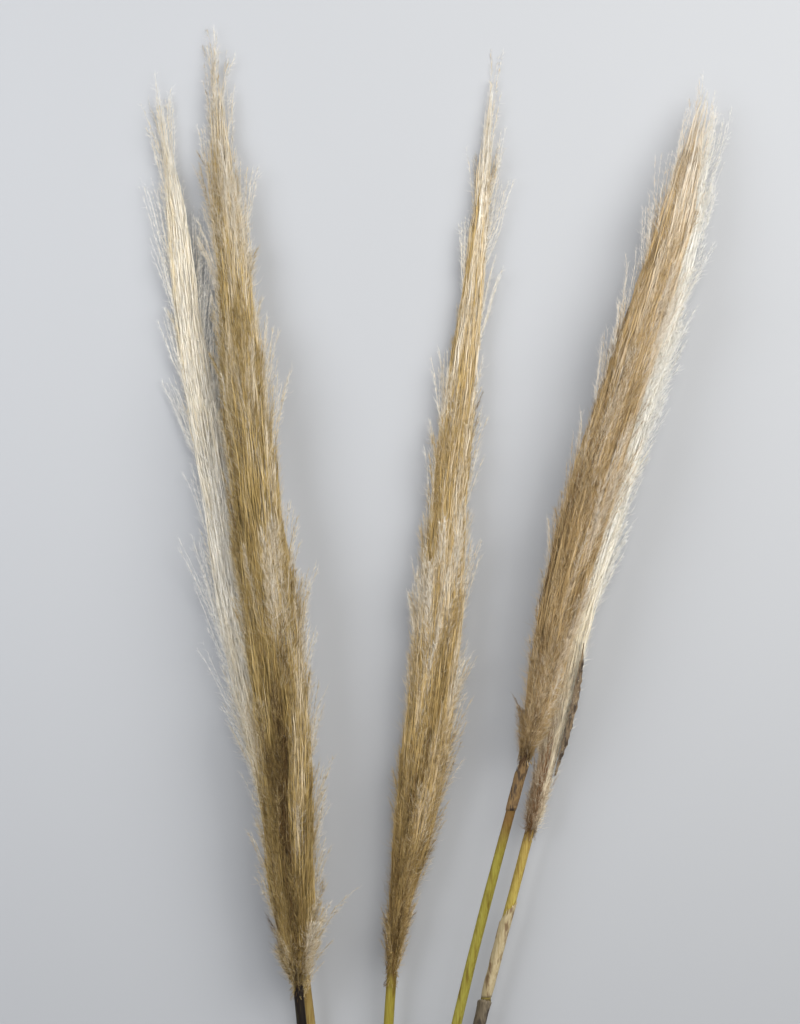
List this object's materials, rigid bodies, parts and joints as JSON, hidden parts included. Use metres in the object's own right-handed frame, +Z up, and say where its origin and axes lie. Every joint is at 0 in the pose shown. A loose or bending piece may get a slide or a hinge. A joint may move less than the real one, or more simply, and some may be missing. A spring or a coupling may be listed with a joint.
{
  "type": "bundle of pampas grass",
  "caption": "Bundle of cut, dried pampas grass: tall feathery plumes on slender stems, fanned out and lying flat with the cut ends gathered.",
  "frame": {"origin": "on the surface the bundle lies on, under the middle of its overall box", "axes": "+Z up; +Y along the stalks from the cut ends to the plume tips; +X to the right seen from above with the tips away from the viewer"},
  "size_m": [0.456, 1.119, 0.0615],
  "materials": {
    "plume_left_front": "matt, silky dried grass hairs, khaki beige with brown streaks",
    "plume_left_back": "matt, silky dried grass hairs, pale straw",
    "plume_middle": "matt, silky dried grass hairs, golden beige",
    "plume_right_front": "matt, silky dried grass hairs, tan brown",
    "plume_right_back": "matt, silky dried grass hairs, cream white",
    "stem_left_front": "satin, ribbed dried cane, brown black under the plume",
    "stem_left_back": "satin, ribbed dried cane, tan",
    "stem_middle": "satin, ribbed dried cane, green yellow",
    "stem_right_front": "satin, ribbed dried cane, olive green, brown at the top",
    "stem_right_back": "satin, ribbed dried cane, straw yellow",
    "papery_sheath": "matt, papery, veined and spotted",
    "dark_sheath": "matt, papery, grey brown",
    "neck_sheath": "matt, papery, dark brown",
    "withered_leaf": "matt, dry, grey brown"
  },
  "bodies": {
    "root": {"leaf_right_back": "withered_leaf", "plume_left_back_high_1": "plume_left_back", "plume_left_back_high_2": "plume_left_back", "plume_left_back_low_1": "plume_left_back", "plume_left_back_low_2": "plume_left_back", "plume_left_back_low_3": "plume_left_back", "plume_left_back_mid_1": "plume_left_back", "plume_left_back_mid_2": "plume_left_back", "plume_left_back_mid_3": "plume_left_back", "plume_left_back_tip": "plume_left_back", "plume_left_front_high_1": "plume_left_front", "plume_left_front_high_2": "plume_left_front", "plume_left_front_low_1": "plume_left_front", "plume_left_front_low_2": "plume_left_front", "plume_left_front_low_3": "plume_left_front", "plume_left_front_mid_1": "plume_left_front", "plume_left_front_mid_2": "plume_left_front", "plume_left_front_mid_3": "plume_left_front", "plume_left_front_tip": "plume_left_front", "plume_middle_high_1": "plume_middle", "plume_middle_high_2": "plume_middle", "plume_middle_low_1": "plume_middle", "plume_middle_low_2": "plume_middle", "plume_middle_low_3": "plume_middle", "plume_middle_mid_1": "plume_middle", "plume_middle_mid_2": "plume_middle", "plume_middle_mid_3": "plume_middle", "plume_middle_tip": "plume_middle", "plume_right_back_high_1": "plume_right_back", "plume_right_back_high_2": "plume_right_back", "plume_right_back_low_1": "plume_right_back", "plume_right_back_low_2": "plume_right_back", "plume_right_back_low_3": "plume_right_back", "plume_right_back_mid_1": "plume_right_back", "plume_right_back_mid_2": "plume_right_back", "plume_right_back_mid_3": "plume_right_back", "plume_right_back_tip": "plume_right_back", "plume_right_front_high_1": "plume_right_front", "plume_right_front_high_2": "plume_right_front", "plume_right_front_low_1": "plume_right_front", "plume_right_front_low_2": "plume_right_front", "plume_right_front_low_3": "plume_right_front", "plume_right_front_mid_1": "plume_right_front", "plume_right_front_mid_2": "plume_right_front", "plume_right_front_mid_3": "plume_right_front", "plume_right_front_tip": "plume_right_front", "sheath_right_back_lower": "dark_sheath", "sheath_right_back_upper": "papery_sheath", "sheath_right_front_neck": "neck_sheath", "stem_left_back": "stem_left_back", "stem_left_front": "stem_left_front", "stem_middle": "stem_middle", "stem_right_back": "stem_right_back", "stem_right_front": "stem_right_front"}
  },
  "joints": []
}
